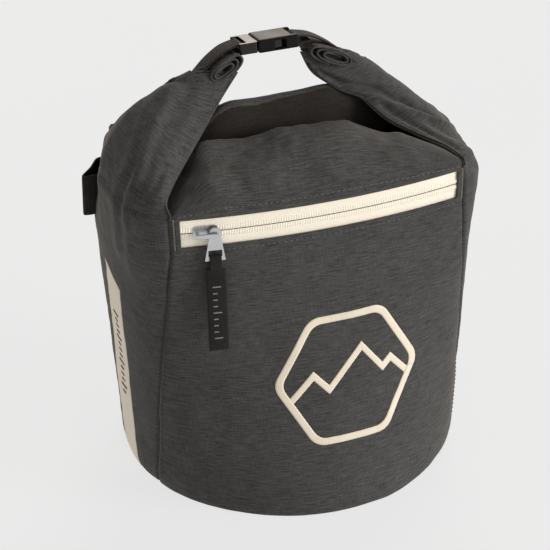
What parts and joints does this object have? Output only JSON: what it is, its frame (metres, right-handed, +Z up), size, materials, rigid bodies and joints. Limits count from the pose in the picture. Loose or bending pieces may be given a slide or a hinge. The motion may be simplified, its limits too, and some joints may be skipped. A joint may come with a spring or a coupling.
{
  "type": "roll-top bucket bag",
  "caption": "Round padded fabric bucket with a rolled, buckled neck that doubles as its handle, a curved zip pocket across the front and brush loops.",
  "frame": {"origin": "centre of the round base where it stands on the ground", "axes": "+Z up, -Y towards the front zip pocket, +X to the bag's right seen from the front"},
  "size_m": [0.2528, 0.21, 0.2867],
  "materials": {
    "shell_fabric": "charcoal heathered ripstop weave with fine horizontal slubs",
    "lining_fabric": "soft brushed fleece",
    "foam": "closed-cell foam sheet",
    "board": "stiff plastic sheet",
    "zip_tape": "cream polyester tape",
    "coil": "cream moulded coil",
    "zip_metal": "satin nickel plate",
    "webbing": "black-brown ribbed webbing",
    "buckle_plastic": "moulded acetal with a soft shine",
    "print": "cream heat-bonded film"
  },
  "bodies": {
    "bag": {"side_wrap": "shell_fabric", "front_pocket_panel": "shell_fabric", "base_panel": "shell_fabric", "base_binding": "webbing", "base_board": "board", "wall_padding": "foam", "lining": "lining_fabric", "pocket_bag": "lining_fabric", "front_upper_panel": "shell_fabric", "back_upper_panel": "shell_fabric", "lip_roll": "shell_fabric", "lip_stiffener": "board", "zip_tape_lower": "zip_tape", "zip_tape_upper": "zip_tape", "zip_coil_lower": "coil", "zip_coil_upper": "coil", "zip_end_stops": "coil", "brush_loop_left": "webbing", "brush_loop_right": "webbing", "side_strip": "print", "front_emblem": "print"},
    "left_handle": {"left_ear": "shell_fabric", "left_roll_end": "shell_fabric", "left_strap": "webbing", "buckle_plug": "buckle_plastic"},
    "right_handle": {"right_ear": "shell_fabric", "right_roll_end": "shell_fabric", "right_strap": "webbing", "buckle_socket": "buckle_plastic"},
    "front_prong": {"prong_front": "buckle_plastic"},
    "back_prong": {"prong_back": "buckle_plastic"},
    "slider": {"zip_slider": "zip_metal"},
    "puller": {"zip_puller": "zip_metal"},
    "tag": {"pull_tag": "webbing"}
  },
  "joints": [
    {"name": "left_ear_swing", "type": "hinge", "parent": "bag", "child": "left_handle", "pos_m": [-0.117, -0.00122, 0.20511], "axis": [0, -0.9848, 0.1736], "range_deg": [0, 35], "deforming": ["prong_front", "prong_back"]},
    {"name": "right_ear_swing", "type": "hinge", "parent": "bag", "child": "right_handle", "pos_m": [0.1165, -0.00122, 0.20511], "axis": [0, 0.9848, -0.1736], "range_deg": [0, 31]},
    {"name": "front_prong_squeeze", "type": "hinge", "parent": "left_handle", "child": "front_prong", "pos_m": [-0.0195, 0.00605, 0.28201], "axis": [0, 0.1736, 0.9848], "range_deg": [0, 7]},
    {"name": "back_prong_squeeze", "type": "hinge", "parent": "left_handle", "child": "back_prong", "pos_m": [-0.0195, 0.01826, 0.27986], "axis": [0, -0.1736, -0.9848], "range_deg": [0, 7]},
    {"name": "zip_travel", "type": "hinge", "parent": "bag", "child": "slider", "pos_m": [0, 0.405, 0.201], "axis": [0, 0, 1], "range_deg": [0, 18.6]},
    {"name": "puller_swing", "type": "hinge", "parent": "slider", "child": "puller", "pos_m": [-0.07339, -0.07262, 0.201], "axis": [0.1625, 0.9867, 0], "range_deg": [-30, 30]},
    {"name": "tag_lift", "type": "hinge", "parent": "puller", "child": "tag", "pos_m": [-0.07339, -0.07262, 0.18435], "axis": [-0.9867, 0.1625, 0], "range_deg": [0, 75]}
  ],
  "couplings": [
    {"joint": "right_ear_swing", "follows": "left_ear_swing", "ratio": 0.86}
  ]
}
